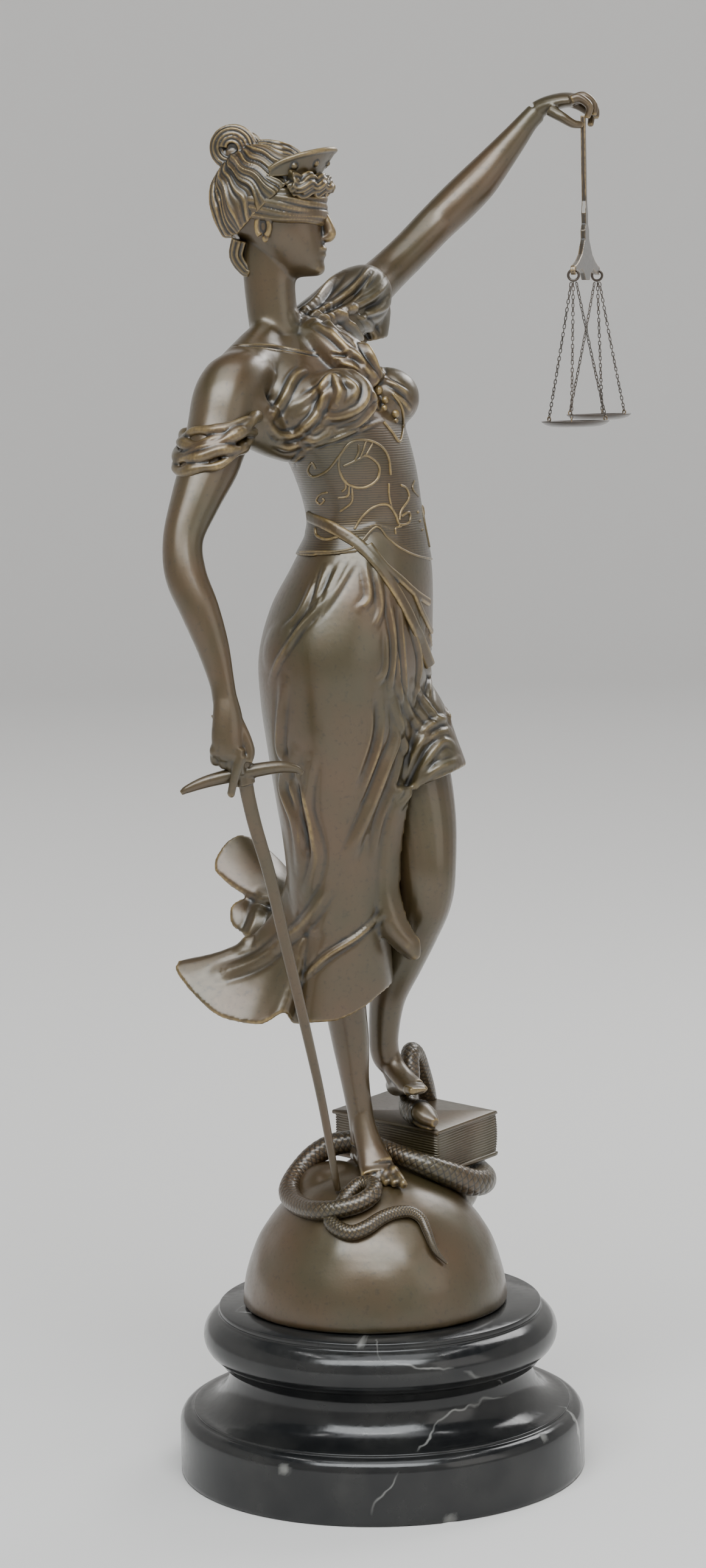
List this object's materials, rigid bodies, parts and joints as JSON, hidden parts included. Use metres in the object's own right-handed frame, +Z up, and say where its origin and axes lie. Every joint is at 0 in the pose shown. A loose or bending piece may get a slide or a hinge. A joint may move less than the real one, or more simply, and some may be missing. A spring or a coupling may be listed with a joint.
{
  "type": "justice statue",
  "caption": "Blindfolded bronze figure of justice with sword and hanging scales, standing on a globe with a book and a snake, on a turned black marble base.",
  "frame": {"origin": "centre of the marble base's underside", "axes": "+Z up; +X towards the raised arm, to the right as seen by a viewer in front; +Y away from that viewer"},
  "size_m": [0.2552, 0.2934, 0.7152],
  "materials": {
    "patina_bronze": "brown patina with rubbed golden edges",
    "dark_bronze": "near-black brown patina",
    "black_marble": "polished black with thin white veins"
  },
  "bodies": {
    "root": {"marble_base": "black_marble", "globe_with_book_and_snake": "patina_bronze", "lady": "patina_bronze", "sword": "patina_bronze", "scale_beam": "dark_bronze", "ring_near": "dark_bronze", "ring_far": "dark_bronze", "pan_near": "dark_bronze", "pan_far": "dark_bronze", "chain_near_1": "dark_bronze", "chain_near_2": "dark_bronze", "chain_near_3": "dark_bronze", "chain_far_1": "dark_bronze", "chain_far_2": "dark_bronze", "chain_far_3": "dark_bronze"}
  },
  "joints": []
}
